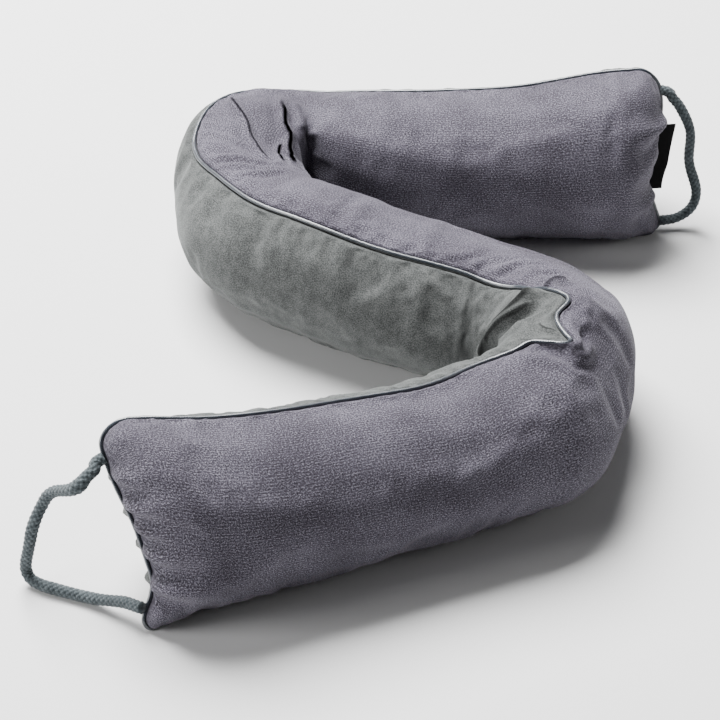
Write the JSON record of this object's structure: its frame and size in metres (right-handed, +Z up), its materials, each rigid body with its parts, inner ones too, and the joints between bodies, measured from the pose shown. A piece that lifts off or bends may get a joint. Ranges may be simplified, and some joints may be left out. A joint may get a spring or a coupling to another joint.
{
  "type": "draught excluder",
  "caption": "Filled fabric draught excluder lying in an S, in two colours, with piped seams, flat gathered ends, a rope handle at each end and a bare tag.",
  "frame": {"origin": "middle of the underside of the tube's bounding box, on the floor, measured without the rope handles", "axes": "+Z up, +X to the right and +Y away from the viewer as the S lies in the picture"},
  "size_m": [0.4121, 0.4726, 0.1094],
  "materials": {
    "green_plush": "soft brushed plush, mottled",
    "mauve_canvas": "matt woven canvas, melange",
    "piping_satin": "satin covered cord",
    "cotton_rope": "braided cotton",
    "black_tape": "woven tape, bare"
  },
  "bodies": {
    "root": {"green_panel": "green_plush", "mauve_panel": "mauve_canvas", "piping": "piping_satin", "near_rope_handle": "cotton_rope", "far_rope_handle": "cotton_rope", "tag": "black_tape"}
  },
  "joints": []
}
